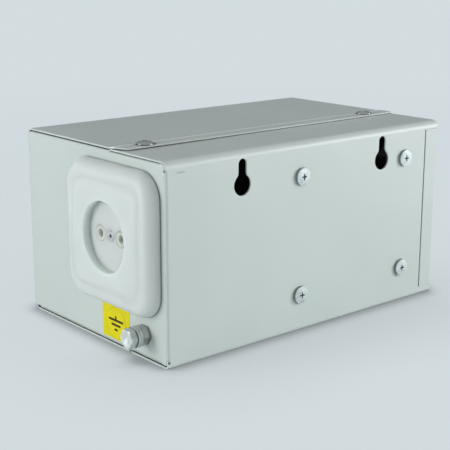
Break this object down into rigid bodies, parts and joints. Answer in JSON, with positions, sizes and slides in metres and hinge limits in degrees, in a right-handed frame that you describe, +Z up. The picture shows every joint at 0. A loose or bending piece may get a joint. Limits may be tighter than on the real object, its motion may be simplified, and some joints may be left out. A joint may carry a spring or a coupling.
{
  "type": "step-down transformer box",
  "caption": "Wall-hung sheet steel box that holds a step-down transformer, toggle breakers, a low-voltage outlet socket on one end and an earth terminal.",
  "frame": {"origin": "centre of the case's footprint on its standing face", "axes": "+X to the socket end, +Y to the wall that the box hangs on, +Z up"},
  "size_m": [0.2296, 0.1461, 0.1151],
  "materials": {
    "grey_powder_coat": "fine satin powder coat",
    "white_moulding": "smooth semi-gloss moulding",
    "socket_base_plastic": "matte moulding",
    "zinc_plate": "bright zinc plating",
    "core_steel": "varnished laminations",
    "copper_winding": "enamelled wire",
    "bobbin_plastic": "glass-filled nylon",
    "winding_tape": "amber tape",
    "terminal_plastic": "black moulding",
    "breaker_plastic": "pale grey moulding",
    "lever_plastic": "black moulding",
    "contact_brass": "turned brass",
    "label_yellow": "printed film",
    "grommet_rubber": "soft rubber",
    "brown_insulation": "smooth insulation",
    "blue_insulation": "smooth insulation"
  },
  "bodies": {
    "chassis": {"rear_chassis": "grey_powder_coat", "end_panel": "grey_powder_coat", "seam_strap": "grey_powder_coat", "transformer_screws": "zinc_plate", "transformer_spacers": "zinc_plate", "transformer_washers": "zinc_plate", "transformer_nuts": "zinc_plate", "core_e_stack": "core_steel", "core_i_stack": "core_steel", "coil_bobbin": "bobbin_plastic", "primary_winding": "copper_winding", "secondary_winding": "copper_winding", "winding_wrap": "winding_tape", "primary_terminals": "terminal_plastic", "secondary_terminals": "terminal_plastic", "terminal_screws": "contact_brass", "breaker_bracket": "zinc_plate", "mounting_rail": "zinc_plate", "rail_screws": "zinc_plate", "rail_nuts": "zinc_plate", "supply_breaker": "breaker_plastic", "load_breaker": "breaker_plastic", "breaker_clamp_screws": "zinc_plate", "socket_plate": "white_moulding", "socket_base": "socket_base_plastic", "socket_contacts": "contact_brass", "socket_support": "zinc_plate", "socket_centre_screw": "zinc_plate", "socket_fixing_screws": "zinc_plate", "socket_fixing_nuts": "zinc_plate", "earth_bolt": "zinc_plate", "earth_washers": "zinc_plate", "earth_nut": "zinc_plate", "earth_inner_washer": "zinc_plate", "earth_inner_nut": "zinc_plate", "earth_label": "label_yellow", "cable_grommet": "grommet_rubber", "primary_wire": "brown_insulation", "secondary_wire": "brown_insulation", "socket_feed_wire": "brown_insulation", "socket_return_wire": "blue_insulation"},
    "cover": {"front_cover": "grey_powder_coat", "cover_screws": "zinc_plate"},
    "supply_lever": {"supply_lever": "lever_plastic"},
    "load_lever": {"load_lever": "lever_plastic"}
  },
  "joints": [
    {"name": "cover_slide", "type": "slide", "parent": "chassis", "child": "cover", "axis": [0, -1, 0], "range_m": [0, 0.15]},
    {"name": "supply_lever_swing", "type": "hinge", "parent": "chassis", "child": "supply_lever", "pos_m": [0.03525, -0.0634, 0.0583], "axis": [-1, 0, 0], "range_deg": [0, 70]},
    {"name": "load_lever_swing", "type": "hinge", "parent": "chassis", "child": "load_lever", "pos_m": [0.05275, -0.0634, 0.0583], "axis": [-1, 0, 0], "range_deg": [0, 70]}
  ]
}
